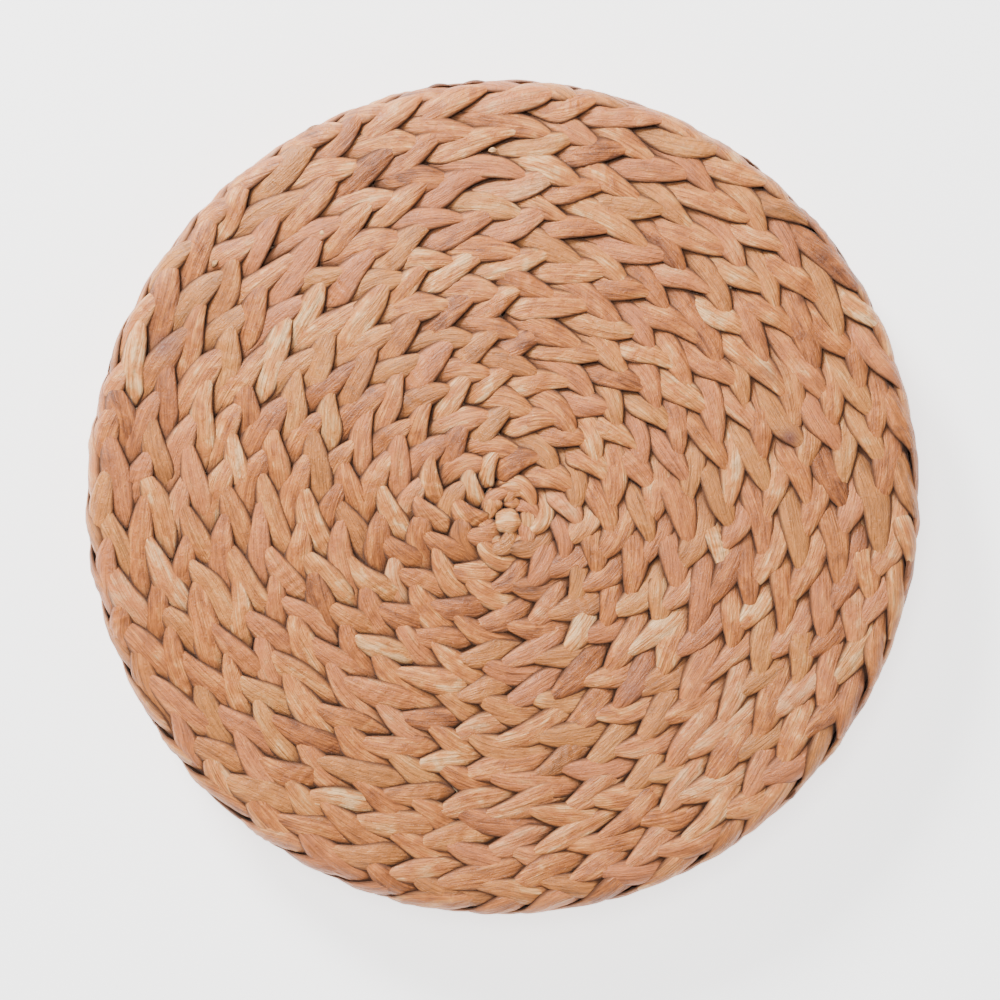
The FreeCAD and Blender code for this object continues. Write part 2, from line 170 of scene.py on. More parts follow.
class Coil:
    """The middle line of one braid, on its unrolled face, with the phase of its strands."""

    def __init__(self, end, crown, turned_over, seed):
        rng = np.random.default_rng(seed)
        self.crown = crown
        self.turned_over = turned_over
        count = int((end - START_TURN) * STEPS_PER_TURN)
        turns = np.linspace(START_TURN, end, count)
        reach = PITCH * (np.minimum(turns, FACE_TURNS) + FIRST_SHARE)
        reach = reach + SIDE_PITCH * np.maximum(turns - FACE_TURNS, 0)
        azimuth = COIL_AZIMUTH - TURN * turns
        settled = smooth((turns - SETTLING) / (SETTLED - SETTLING))
        centre = (COIL_OFFSET + COIL_DRIFT * turns) * (1 - settled)
        x = centre * math.cos(COIL_AZIMUTH) + reach * np.cos(azimuth)
        y = centre * math.sin(COIL_AZIMUTH) + reach * np.sin(azimuth)
        dx, dy = np.gradient(x), np.gradient(y)
        step = np.hypot(dx, dy)
        radius = surface(np.hypot(x, y), 0)[0]
        real = step * np.where(reach > FLAT, radius / np.maximum(np.hypot(x, y), 1), 1)
        length = np.cumsum(real) - real[0]
        aside = wave(length, WANDER_LENGTH, WANDER, rng) * smooth(turns / 1.5)
        self.turns = turns
        self.side_x, self.side_y = -dy / step, dx / step
        self.x = x + aside * self.side_x
        self.y = y + aside * self.side_y
        self.length = length
        lay = np.interp(reach, LAY_AT, LAY_LENGTH)
        even = np.cumsum(real / lay) * TURN
        self.phase = even + wave(length, UNEVEN_LENGTH, UNEVEN_LAY, rng)
        self.phase = np.maximum.accumulate(self.phase + np.arange(count) * 1e-9)
        self.scale = START_SCALE + (1 - START_SCALE) * smooth((turns + 0.1) / 0.9)

    def at(self, turns, name):
        return np.interp(turns, self.turns, getattr(self, name))

    def place(self, turns, across, up):
        """Points in the pad's frame, across the braid and up from its middle surface."""
        x = self.at(turns, "x") + across * self.at(turns, "side_x")
        y = self.at(turns, "y") + across * self.at(turns, "side_y")
        return self.lay(x, y, up)

    def lay(self, x, y, up):
        """Points in the pad's frame, from places on the unrolled face and up from its middle."""
        s = np.hypot(x, y)
        radius, height, out, top = surface(s, self.crown)
        if self.turned_over:
            free = LAYER / 2 - FLOOR_SOFTNESS
            pressed = LAYER / 2 - FLOOR_SOFTNESS * np.exp(-np.maximum(up - free, 0) / FLOOR_SOFTNESS)
            up = np.where((up > free) & (s < FLAT + BEND / 2), pressed, up)
        radius = radius + up * out
        z = height + up * top
        share = radius / np.maximum(s, 1e-6)
        x, y = x * share, y * share
        if self.turned_over:
            along = x * math.cos(COIL_AZIMUTH) + y * math.sin(COIL_AZIMUTH)
            x = 2 * along * math.cos(COIL_AZIMUTH) - x
            y = 2 * along * math.sin(COIL_AZIMUTH) - y
            z = PAD_HEIGHT - z
        return np.stack([x, y, z], -1)


STAINS = [                       # middle x, y, reach and strength of each dark patch on a leaf
    (-161.5, 71.0, 6.0, 0.85),
    (171.0, 106.0, 7.0, 0.55),
    (126.5, 59.5, 6.0, 0.45),
    (135.5, 28.0, 5.0, 0.95),
    (62.0, -92.0, 6.0, 0.5),
]


def stain(points):
    darkest = np.zeros(points.shape[:-1])
    for x, y, reach, strength in STAINS:
        away = (points[..., 0] - x) ** 2 + (points[..., 1] - y) ** 2
        darkest = np.maximum(darkest, strength * np.exp(-away / reach ** 2))
    return np.where(points[..., 2] > PAD_HEIGHT / 2, darkest, 0)


def section(top_points, under_points):
    """A leaf's section: points round it, 1 at its widest and highest. It starts at one edge."""
    over = -np.cos(np.linspace(0, math.pi, top_points))
    under = np.cos(np.linspace(0, math.pi, under_points + 2))[1:-1]
    across = np.concatenate([over, under])
    bulge = np.maximum(1 - np.abs(across) ** 2.3, 0)
    up = np.concatenate([bulge[:top_points] ** 0.75, -0.7 * bulge[top_points:] ** 0.6])
    return across, up, np.arange(len(across)) < top_points


def leaf(coil, middle_phase, side, steps, shape, rng):
    """One leaf of the braid, a closed body pointed at both ends: vertices in rings, and their facts.

    It starts at the edge of the turn, under the leaf behind it, and runs forward to the turn's
    middle, where its tip goes under the next leaf of the other side."""
    across, up, is_top = shape
    inner = side < 0
    part = np.linspace(*LEAF_ENDS, steps)
    span = LEAF_SPAN * rng.uniform(*SPAN_RANGE)
    phase = middle_phase + (part - 0.5 + rng.normal(0, 0.02)) * span
    turns = np.interp(phase, coil.phase, coil.turns)
    scale = coil.at(turns, "scale")
    size = np.clip(rng.normal(1.0, SIZE_SPREAD), *SIZE_RANGE)
    half = (INNER_WIDTH if inner else OUTER_WIDTH) / 2 * size
    bell = np.sin(math.pi * part ** rng.uniform(*FULL_RANGE))
    wide = half * (POINT_WIDTH + (1 - POINT_WIDTH) * np.sin(math.pi * part ** FULL_START)) * scale
    wide = wide * (1 + 0.02 * np.sin(TURN * part * rng.uniform(1.2, 2.6) + rng.uniform(0, TURN)))
    thick = LEAF_THICKNESS / 2 * (POINT_THICKNESS + (1 - POINT_THICKNESS) * bell ** 0.6)
    thick = thick * np.clip(rng.normal(1, 0.1), *THICKNESS_RANGE)
    start, end = INNER_PATH if inner else OUTER_PATH
    middle = start + (end - start) * part + side * BOW * bell + rng.normal(0, ASIDE_SPREAD) * bell
    middle = middle * scale
    height = np.interp(part, LIFT_PLACES, LIFT_HEIGHTS) + rng.normal(0, LIFT_SPREAD)
    roll = side * ROLL * (0.55 - part) * 2 + rng.normal(0, ROLL_SPREAD) * bell

    grid = np.broadcast_to(across, (steps, len(across)))
    here = part[:, None]
    fade = (bell[:, None] ** 0.9) * (1 - grid ** 2)
    relief = np.zeros_like(grid)
    for depth, narrow in FOLDS:
        line = grid - rng.uniform(-0.7, 0.7) - rng.normal(0, 0.5) * (here - 0.5)
        deep = np.clip(rng.normal(depth, 0.16), 0.0, DEEPEST_FOLD)
        relief = relief - deep * np.exp(-(line / narrow) ** 2)
    relief = relief + rng.uniform(0.02, 0.09) * np.cos(grid * rng.uniform(9, 15) + rng.uniform(0, TURN))
    pucker = np.clip(rng.normal(0.05, 0.10), 0.0, DEEPEST_PUCKER)
    ripple = here * rng.uniform(4, 9) * TURN + rng.uniform(-3, 3) * grid + rng.uniform(0, TURN)
    relief = relief + pucker * np.sin(ripple)
    relief = np.where(is_top[None, :], relief * fade, 0)

    out = grid * wide[:, None]
    rise = up[None, :] * thick[:, None] + relief
    cos, sin = np.cos(roll)[:, None], np.sin(roll)[:, None]
    sideways = middle[:, None] + out * cos - rise * sin
    upward = height[:, None] + out * sin + rise * cos
    upward = upward - LEAN * sideways / (PITCH / 2)
    every = np.broadcast_to(turns[:, None], sideways.shape)
    points = coil.place(every, sideways, upward)

    distance = np.broadcast_to(coil.at(turns, "length")[:, None], out.shape)
    flat = np.ones_like(out)
    facts = {
        "leaf_along": distance,
        "leaf_across": out,
        "leaf_seed": flat * rng.uniform(0, 40),
        "leaf_tone": flat * np.clip(rng.normal(0.53, 0.13), 0.25, 0.8),
        "leaf_hue": flat * rng.uniform(0, 1),
        # Painted shade: the rise and the distance from the middle line darken the material's colour in
        # low places and toward the edges.
        "rise_for_painted_shade": upward,
        "edge_for_painted_shade": np.abs(grid) * np.ones_like(out),
        "leaf_stain": stain(points),
    }
    return points, facts


def hidden_strand(coil, first_turn, last_turn, shape):
    """The strands' hidden parts, under the leaves of a stretch of braid."""
    across, up, _ = shape
    count = max(8, int((last_turn - first_turn) * HIDDEN_STEPS))
    turns = np.linspace(first_turn, last_turn, count)
    scale = coil.at(turns, "scale")
    out = across[None, :] * (BACKING_WIDTH / 2 * scale)[:, None]
    rise = BACKING_LEVEL + up[None, :] * BACKING_THICKNESS / 2 + 0 * out
    rise = rise + 0.25 * np.sin(out * 1.4 + coil.at(turns, "length")[:, None] * 0.21)
    every = np.broadcast_to(turns[:, None], out.shape)
    points = coil.place(every, out, rise)
    distance = np.broadcast_to(coil.at(turns, "length")[:, None], out.shape)
    flat = np.ones_like(out)
    facts = {
        "leaf_along": distance,
        "leaf_across": out,
        "leaf_seed": flat * 3.0,
        # Painted shade: this tone and rise give the hidden layer the darkest shade colour, standing in
        # for the shadow under the leaves.
        "leaf_tone": flat * 0.25,
        "leaf_hue": flat * 0.5,
        "rise_for_painted_shade": flat * -1.75,
        "edge_for_painted_shade": flat * 0.5,
        "leaf_stain": flat * 0.0,
    }
    return points, facts


def short_leaf(coil, tail, tip, width, rise, steps, shape, rng, tone=None):
    """A small leaf of the coil's start, from its tail to its tip on the unrolled face."""
    across, up, is_top = shape
    part = np.linspace(*LEAF_ENDS, steps)
    bell = np.sin(math.pi * part)
    tail, tip = np.array(tail), np.array(tip)
    ahead = tip - tail
    length = np.hypot(*ahead)
    aside = np.array([-ahead[1], ahead[0]]) / length
    wide = width / 2 * (0.04 + 0.96 * bell ** 0.7)
    thick = min(LEAF_THICKNESS, 0.6 * width) / 2 * (0.2 + 0.8 * bell ** 0.6)
    grid = np.broadcast_to(across, (steps, len(across)))
    relief = np.zeros_like(grid)
    for narrow in (0.12, 0.09, 0.07):
        line = grid - rng.uniform(-0.6, 0.6) - rng.normal(0, 0.3) * (part[:, None] - 0.5)
        relief = relief - rng.uniform(0.1, 0.45) * np.exp(-(line / narrow) ** 2)
    relief = np.where(is_top[None, :], relief * bell[:, None] * (1 - grid ** 2), 0)
    out = grid * wide[:, None]
    bow = 0.06 * length * bell[:, None]
    x = tail[0] + ahead[0] * part[:, None] + aside[0] * (out + bow)
    y = tail[1] + ahead[1] * part[:, None] + aside[1] * (out + bow)
    upward = rise + 1.2 * bell[:, None] - 1.2 + up[None, :] * thick[:, None] + relief
    points = coil.lay(x, y, upward)
    flat = np.ones_like(out)
    facts = {
        "leaf_along": length * part[:, None] * flat,
        "leaf_across": out,
        "leaf_seed": flat * rng.uniform(0, 40),
        "leaf_tone": flat * (rng.uniform(0.45, 0.75) if tone is None else tone),
        "leaf_hue": flat * rng.uniform(0.1, 0.6),
        # Painted shade: the rise and the distance from the middle line darken the material's colour in
        # low places and toward the edges.
        "rise_for_painted_shade": upward,
        "edge_for_painted_shade": np.abs(grid) * flat,
        "leaf_stain": flat * 0.0,
    }
    return points, facts


def knob(coil, middle, radius, rings, around):
    """The rounded lobe that the braid starts from: a dome with folds running down its side."""
    tilt = np.linspace(0.02, math.pi - 0.02, rings)[:, None]
    azimuth = np.linspace(0, TURN, around, endpoint=False)[None, :]
    folds = 1 + 0.05 * np.cos(5 * azimuth + 0.6) * np.sin(tilt) + 0.03 * np.cos(9 * azimuth + tilt)
    reach = radius * np.sin(tilt) ** 0.6 * folds
    x = middle[0] + reach * np.cos(azimuth)
    y = middle[1] + reach * np.sin(azimuth)
    upward = 0.1 + KNOB_RISE * np.cos(tilt) + 0.12 * np.cos(3 * azimuth) * np.sin(tilt)
    points = coil.lay(x, y, upward)
    flat = np.ones_like(x)
    facts = {
        "leaf_along": radius * np.cos(azimuth) * np.sin(tilt) + 0 * x,
        "leaf_across": radius * np.sin(azimuth) * np.sin(tilt) + 0 * x,
        "leaf_seed": flat * 7.0,
        "leaf_tone": flat * 0.82,
        "leaf_hue": flat * 0.45,
        # Painted shade: through this rise the knob's colour darkens toward its base.
        "rise_for_painted_shade": flat * 1.2 + np.cos(tilt),
        "edge_for_painted_shade": flat * 0.5,
        "leaf_stain": flat * 0.0,
    }
    return points, facts


def tube_faces(rings, around, start):
    """Quads between the rings, and a fan of triangles over each end."""
    ring = np.arange(rings - 1)[:, None] * around
    here = np.arange(around)[None, :]
    there = (here + 1) % around
    quads = np.stack([ring + here, ring + there, ring + around + there, ring + around + here], -1)
    quads = quads.reshape(-1, 4)[:, ::-1] + start
    low_centre = start + rings * around
    high_centre = low_centre + 1
    flat = np.arange(around)
    nxt = (flat + 1) % around
    low = np.stack([np.full(around, low_centre), start + flat, start + nxt], -1)
    top_ring = start + (rings - 1) * around
    high = np.stack([np.full(around, high_centre), top_ring + nxt, top_ring + flat], -1)
    return quads, np.concatenate([low, high])


def inside_out(points, quads):
    a, b, c, d = (points[quads[:, k]] - points.mean(0) for k in range(4))
    return (np.cross(a, b) * c + np.cross(a, c) * d).sum() < 0


class Builder:
    """Collects tubes for one mesh."""

    def __init__(self):
        self.points, self.quads, self.triangles = [], [], []
        self.facts = {}
        self.count = 0

    def add(self, points, facts):
        rings, around = points.shape[:2]
        quads, triangles = tube_faces(rings, around, 0)
        if inside_out(points.reshape(-1, 3), quads):
            quads, triangles = quads[:, ::-1], triangles[:, ::-1]
        quads, triangles = quads + self.count, triangles + self.count
        caps = np.stack([points[0].mean(0), points[-1].mean(0)])
        self.points.append(points.reshape(-1, 3))
        self.points.append(caps)
        self.quads.append(quads)
        self.triangles.append(triangles)
        for name, value in facts.items():
            ends = np.array([value[0].mean(), value[-1].mean()])
            self.facts.setdefault(name, []).append(np.concatenate([value.reshape(-1), ends]))
        self.count += rings * around + 2

    def mesh(self, name, material):
        points = np.concatenate(self.points) * MM
        quads = np.concatenate(self.quads)
        triangles = np.concatenate(self.triangles)
        data = bpy.data.meshes.new(name)
        data.vertices.add(len(points))
        data.vertices.foreach_set("co", points.astype(np.float32).ravel())
        corners = np.concatenate([quads.ravel(), triangles.ravel()]).astype(np.int32)
        data.loops.add(len(corners))
        data.loops.foreach_set("vertex_index", corners)
        starts = np.arange(len(quads)) * 4
        later = len(quads) * 4 + np.arange(len(triangles)) * 3
        data.polygons.add(len(quads) + len(triangles))
        data.polygons.foreach_set("loop_start", np.concatenate([starts, later]).astype(np.int32))
        data.update(calc_edges=True)
        data.validate()
        data.polygons.foreach_set("use_smooth", np.ones(len(data.polygons), bool))
        for key, parts in self.facts.items():
            attribute = data.attributes.new(key, "FLOAT", "POINT")
            attribute.data.foreach_set("value", np.concatenate(parts).astype(np.float32))
        data.materials.append(material)
        piece = bpy.data.objects.new(name, data)
        bpy.context.scene.collection.objects.link(piece)
        return piece


# ---------------------------------------------------------------- materials
PAINTED_SHADE_REACH = 0.0040           # metres: reach of the painted crevice shade; leaves nearer than this darken each other's colour
FLOOR_GLOW = 2.0                 # brings the floor near the photograph's white


class Nodes:
    """Short calls for building a node material."""

    def __init__(self, name):
        self.material = bpy.data.materials.new(name)
        self.material.use_nodes = True
        self.tree = self.material.node_tree
        self.shader = self.tree.nodes["Principled BSDF"]

    def new(self, kind, **settings):
        node = self.tree.nodes.new(kind)
        for key, value in settings.items():
            setattr(node, key, value)
        return node

    def feed(self, socket, value):
        if isinstance(value, bpy.types.NodeSocket):
            self.tree.links.new(value, socket)
        else:
            socket.default_value = value

    def attribute(self, name):
        return self.new("ShaderNodeAttribute", attribute_name=name).outputs["Fac"]

    def math(self, operation, *values):
        node = self.new("ShaderNodeMath", operation=operation)
        for socket, value in zip(node.inputs, values):
            self.feed(socket, value)
        return node.outputs[0]

    def vector(self, x, y, z):
        node = self.new("ShaderNodeCombineXYZ")
        for socket, value in zip(node.inputs, (x, y, z)):
            self.feed(socket, value)
        return node.outputs[0]

    def noise(self, vector, scale, detail=2.0, roughness=0.5, distortion=0.0):
        node = self.new("ShaderNodeTexNoise")
        self.feed(node.inputs["Vector"], vector)
        node.inputs["Scale"].default_value = scale
        node.inputs["Detail"].default_value = detail
        node.inputs["Roughness"].default_value = roughness
        node.inputs["Distortion"].default_value = distortion
        return node.outputs["Fac"]

    def span(self, value, low, high, to_low=0.0, to_high=1.0):
        node = self.new("ShaderNodeMapRange")
        self.feed(node.inputs["Value"], value)
        node.inputs["From Min"].default_value = low
        node.inputs["From Max"].default_value = high
        node.inputs["To Min"].default_value = to_low
        node.inputs["To Max"].default_value = to_high
        return node.outputs["Result"]

    def ramp(self, value, stops):
        node = self.new("ShaderNodeValToRGB")
        self.feed(node.inputs["Fac"], value)
        elements = node.color_ramp.elements
        while len(elements) < len(stops):
            elements.new(0.5)
        for element, (place, colour) in zip(elements, stops):
            element.position = place
            element.color = (*colour, 1.0)
        return node.outputs["Color"]

    def mix(self, share, first, second, blend="MIX"):
        node = self.new("ShaderNodeMix", data_type="RGBA", blend_type=blend)
        self.feed(node.inputs["Factor"], share)
        colours = [socket for socket in node.inputs if socket.type == "RGBA"]
        self.feed(colours[0], first)
        self.feed(colours[1], second)
        return next(socket for socket in node.outputs if socket.type == "RGBA")

    def bump(self, height, distance, strength=1.0, normal=None):
        node = self.new("ShaderNodeBump")
        self.feed(node.inputs["Height"], height)
        node.inputs["Distance"].default_value = distance
        node.inputs["Strength"].default_value = strength
        if normal is not None:
            self.feed(node.inputs["Normal"], normal)
        return node.outputs["Normal"]


def leaf_material():
    n = Nodes("dried_leaf")
    along = n.attribute("leaf_along")
    across = n.attribute("leaf_across")
    seed = n.attribute("leaf_seed")
    tone = n.attribute("leaf_tone")
    hue = n.attribute("leaf_hue")
    streak_at = n.vector(n.math("MULTIPLY", along, 0.045), n.math("MULTIPLY", across, 1.1), seed)
    streak = n.noise(streak_at, 1.0, 4.0, 0.6, 0.3)
    fibre_at = n.vector(n.math("MULTIPLY", along, 0.07), n.math("MULTIPLY", across, 2.1), seed)
    fibre = n.noise(fibre_at, 1.0, 3.0, 0.6)
    blotch_at = n.vector(n.math("MULTIPLY", along, 0.11), n.math("MULTIPLY", across, 0.2), seed)
    blotch = n.noise(blotch_at, 1.0, 2.0, 0.5, 0.6)
    wrinkle_at = n.vector(n.math("MULTIPLY", along, 0.42), n.math("MULTIPLY", across, 0.75), seed)
    wrinkle = n.noise(wrinkle_at, 1.0, 2.0, 0.5, 1.0)

    shade = n.math("ADD", tone, n.span(blotch, 0.3, 0.7, -0.26, 0.26))
    shade = n.math("ADD", shade, n.span(streak, 0.3, 0.7, -0.2, 0.2))
    tan = n.ramp(shade, [
        (0.0, (0.190, 0.050, 0.010)),
        (0.22, (0.370, 0.104, 0.020)),
        (0.5, (0.570, 0.170, 0.030)),
        (0.78, (0.790, 0.295, 0.068)),
        (1.0, (0.980, 0.560, 0.240)),
    ])
    pink = n.mix(n.span(hue, 0.6, 1.0, 0.0, 0.6), tan, (0.640, 0.200, 0.066, 1.0))
    warm = n.mix(n.span(hue, 0.35, 0.0, 0.0, 0.55), pink, (0.590, 0.230, 0.045, 1.0))
    dark_fibre = n.span(fibre, 0.36, 0.52, 0.55, 1.0)
    toned = n.mix(1.0, warm, n.vector(dark_fibre, dark_fibre, dark_fibre), "MULTIPLY")
    stained = n.mix(n.attribute("leaf_stain"), toned, (0.20, 0.070, 0.045, 1.0))
    # Painted shade: the colour darkens where a leaf lies low, toward its edges and where an ambient
    # occlusion node finds other leaves near, standing in for the shade in the crevices between leaves.
    deep = n.span(n.attribute("rise_for_painted_shade"), -1.5, 1.7, 0.0, 1.0)
    edge = n.span(n.attribute("edge_for_painted_shade"), 0.68, 0.96, 0.0, 0.95)
    shadow = n.math("SUBTRACT", deep, edge)
    painted_crevice_shade = n.new("ShaderNodeAmbientOcclusion", samples=6)
    painted_crevice_shade.inputs["Distance"].default_value = PAINTED_SHADE_REACH
    open_share = n.span(painted_crevice_shade.outputs["AO"], 0.52, 0.97, 0.0, 1.0)
    shadow = n.math("MULTIPLY", n.math("MAXIMUM", shadow, 0.0), open_share)
    # Mixes the painted shade's dark brown into the leaf's own colour.
    with_painted_shade = n.mix(n.span(shadow, 0.0, 0.75, 0.0, 1.0), (0.100, 0.034, 0.012, 1.0), stained)
    n.feed(n.shader.inputs["Base Color"], with_painted_shade)
    rough = n.span(streak, 0.3, 0.7, 0.52, 0.33)
    dull = n.span(shadow, 0.05, 0.5, 0.5, 0.0)
    n.feed(n.shader.inputs["Roughness"], n.math("ADD", rough, dull))
    n.shader.inputs["Specular IOR Level"].default_value = 0.5
    n.shader.inputs["Sheen Weight"].default_value = 0.08
    n.shader.inputs["Sheen Roughness"].default_value = 0.5
    relief = n.bump(wrinkle, 0.0011, 0.6)
    relief = n.bump(streak, 0.0007, 0.75, relief)
    relief = n.bump(fibre, 0.0003, 0.8, relief)
    n.feed(n.shader.inputs["Normal"], relief)
    return n.material


def thread_material():
    n = Nodes("cotton_thread")
    at = n.new("ShaderNodeTexCoord").outputs["Object"]
    ply = n.noise(at, 900.0, 2.0, 0.6)
    worn = n.noise(at, 60.0, 2.0, 0.5)
    colour = n.ramp(n.math("ADD", n.math("MULTIPLY", ply, 0.6), n.math("MULTIPLY", worn, 0.4)), [
        (0.25, (0.30, 0.19, 0.11)),
        (0.6, (0.52, 0.36, 0.23)),
        (0.85, (0.62, 0.46, 0.31)),
    ])
    n.feed(n.shader.inputs["Base Color"], colour)
    n.shader.inputs["Roughness"].default_value = 0.85
    n.feed(n.shader.inputs["Normal"], n.bump(ply, 0.0002, 0.6))
    return n.material


def floor_material():
    n = Nodes("pale_floor")
    at = n.new("ShaderNodeTexCoord").outputs["Object"]
    grain = n.noise(at, 3.0, 2.0, 0.5)
    n.feed(n.shader.inputs["Base Color"], n.ramp(grain, [
        (0.3, (0.90, 0.90, 0.895)),
        (0.7, (0.93, 0.93, 0.925)),
    ]))
    n.shader.inputs["Roughness"].default_value = 0.9
    n.shader.inputs["Emission Color"].default_value = (1.0, 1.0, 1.0, 1.0)
    n.shader.inputs["Emission Strength"].default_value = FLOOR_GLOW
    return n.material


LEAF = leaf_material()
THREAD = thread_material()

# ---------------------------------------------------------------- braids
STRANDS = 3
FIRST_MIDDLE = 0.35              # where the first leaf's middle lies, in spacings of one side's leaves


def braid_pieces(coil, cuts, names, steps, shape, seed):
    """The braid, shared out to pieces. A leaf goes to the piece that its middle is in."""
    rng = np.random.default_rng(seed)
    builders = [Builder() for name in names]
    step = TURN / STRANDS
    whole = (coil.phase[-1] - coil.phase[0]) / step
    for number in range(int(whole * 2)):
        side = -1 if number % 2 else 1
        middle_phase = coil.phase[0] + (number / 2 + FIRST_MIDDLE) * step
        turn = np.interp(middle_phase, coil.phase, coil.turns)
        owner = min(int(np.searchsorted(cuts, turn)), len(names) - 1)
        builders[owner].add(*leaf(coil, middle_phase, side, steps, shape, rng))
    edges = [coil.turns[0]] + list(cuts) + [coil.turns[-1]]
    for builder, first, last in zip(builders, edges, edges[1:]):
        builder.add(*hidden_strand(coil, first, last, section(7, 3)))
    return builders


RUN_OUT = 10.28                  # the turn where the braid's outside has reached the rim
START_END = 0.05                 # the turns where the start and the first turn on the wall end
FIRST_WALL_END = 11.15
KNOB_RINGS, KNOB_AROUND = 24, 48
START_LEAF_RINGS, SCRAP_RINGS = 30, 12
TOP_SHAPE = section(19, 5)
UNDER_SHAPE = section(11, 5)
START_SHAPE = section(21, 7)

top = Coil(TOP_END, CROWN, turned_over=False, seed=11)
bottom = Coil(BOTTOM_END, 0.0, turned_over=True, seed=23)

top_names = ["top_braid_start"]
top_names += [f"top_braid_round_{k:02d}" for k in range(1, 11)]
top_names += ["top_braid_last_stretch", "side_braid_round_1", "side_braid_round_2"]
top_cuts = [START_END] + [float(k) for k in range(1, 11)] + [RUN_OUT, FIRST_WALL_END]
bottom_names = ["bottom_braid_start"]
bottom_names += [f"bottom_braid_round_{k:02d}" for k in range(1, 11)]
bottom_names += ["bottom_braid_last_stretch", "side_braid_round_3"]
bottom_cuts = [START_END] + [float(k) for k in range(1, 11)] + [RUN_OUT]


def finish_piece(name, builder, material):
    piece = builder.mesh(f"{name}_woven", material)
    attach(piece, "root")
    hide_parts(name)
    return piece


along_top = 32
along_bottom = 20
top_builders = braid_pieces(top, top_cuts, top_names, along_top, TOP_SHAPE, seed=5)
bottom_builders = braid_pieces(bottom, bottom_cuts, bottom_names, along_bottom, UNDER_SHAPE, seed=6)
start_rng = np.random.default_rng(41)
for coil, builder in ((top, top_builders[0]), (bottom, bottom_builders[0])):
    builder.add(*knob(coil, KNOB_MIDDLE, KNOB_RADIUS, KNOB_RINGS, KNOB_AROUND))
    for tail, tip, width, rise in START_LEAVES:
        builder.add(*short_leaf(coil, tail, tip, width, rise, START_LEAF_RINGS, START_SHAPE, start_rng))
for x, y, length, width, rise, tone in SCRAPS:
    nearest = np.argmin(np.hypot(top.x - x, top.y - y))
    owner = int(np.searchsorted(top_cuts, top.turns[nearest]))
    across = np.array([top.side_y[nearest], -top.side_x[nearest]]) * length / 2
    ends = ((x - across[0], y - across[1]), (x + across[0], y + across[1]))
    scrap = short_leaf(top, *ends, width, rise, SCRAP_RINGS, UNDER_SHAPE, start_rng, tone)
    top_builders[owner].add(*scrap)
for name, builder in zip(top_names + bottom_names, top_builders + bottom_builders):
    finish_piece(name, builder, LEAF)

# ---------------------------------------------------------------- sewing thread
STITCH = 9.0                     # length of one whip stitch
STITCH_REACH = 1.5               # from a seam's line to the thread's middle, across
STITCH_DEPTH = 1.0
THREAD_RADIUS = 0.5
THREAD_SIDES = 6
THREAD_STEP = 1.1
SEAM_LEVEL = -2.9                # of a face's seam, from the middle of the braid
RING_TURN = 1.004                # a ring of stitches goes round this much
UPPER_SEAM = 36.1                # heights of the two seams on the side wall
LOWER_SEAM = 17.9
SEAM_INSIDE = 0.6                # a rim seam lies this far to the foam's side of its layer of braid


def thread_tube(line):
    """A round thread along a line of points, three numbers each."""
    ahead = np.gradient(line, axis=0)
    ahead = ahead / np.linalg.norm(ahead, axis=1, keepdims=True)
    aside = np.cross(ahead, (0.0, 0.0, 1.0))
    aside = aside / np.maximum(np.linalg.norm(aside, axis=1, keepdims=True), 1e-6)
    over = np.cross(aside, ahead)
    turn = np.linspace(0, TURN, THREAD_SIDES, endpoint=False)[None, :, None]
    out = aside[:, None] * np.cos(turn) + over[:, None] * np.sin(turn)
    return line[:, None, :] + THREAD_RADIUS * out


def coil_stitches(coil, first, last):
    length_first, length_last = coil.at(first, "length"), coil.at(last, "length")
    length = np.arange(length_first, length_last, THREAD_STEP)
    turns = np.interp(length, coil.length, coil.turns)
    stitch = TURN * length / STITCH
    across = -PITCH / 2 + STITCH_REACH * np.cos(stitch)
    return thread_tube(coil.place(turns, across, SEAM_LEVEL + STITCH_DEPTH * np.sin(stitch)))


def ring_stitches(radius, height):
    count = int(TURN * radius / THREAD_STEP)
    azimuth = np.linspace(0, TURN * RING_TURN, count)
    stitch = azimuth * round(TURN * radius / STITCH)
    out = radius + STITCH_DEPTH * 0.9 * np.cos(stitch)
    line = [out * np.cos(azimuth), out * np.sin(azimuth), height + STITCH_DEPTH * np.sin(stitch)]
    return thread_tube(np.stack(line, -1))


RIM_SEAM_RADIUS = FLAT
WALL_SEAM_RADIUS = PAD_RADIUS - LAYER + 0.7
threads = {
    "top_seam_thread": coil_stitches(top, 1.0, 10.0),
    "bottom_seam_thread": coil_stitches(bottom, 1.0, 10.0),
    "rim_seam_thread": ring_stitches(RIM_SEAM_RADIUS, PAD_HEIGHT - LAYER - SEAM_INSIDE),
    "side_seam_thread_upper": ring_stitches(WALL_SEAM_RADIUS, UPPER_SEAM),
    "side_seam_thread_lower": ring_stitches(WALL_SEAM_RADIUS, LOWER_SEAM),
    "closing_seam_thread": ring_stitches(RIM_SEAM_RADIUS, LAYER + SEAM_INSIDE),
}
for name, points in threads.items():
    builder = Builder()
    builder.add(points, {})
    finish_piece(name, builder, THREAD)

# ---------------------------------------------------------------- liner and foam
FOAM_RADIUS = 190.2
FOAM_LOW, FOAM_HIGH = 9.8, 44.2
CLOTH = 0.8
CLOTH_RADIUS = 190.4             # inner face of the liner
LINER_CROWN = 1.6
AROUND = 180
FOAM_BEND = 8.0                  # radius of the foam's edge
FLAT_STEPS, BEND_STEPS = 40, 10
PANEL_BEND = 7.2                 # of a panel's edge, on its inner face
PANEL_DROP = 6.9                 # from the foam's top to the lower end of that bend
PANEL_GAP = 0.3                  # from the foam to a panel
PANEL_FLAT_STEPS, PANEL_BEND_STEPS = 48, 12
BAND_LOW, BAND_HIGH = 17.0, 37.0
BAND_ROWS, BAND_AROUND = 12, 420
BAND_TURN = 1.012                # the band goes round this much, its lap included


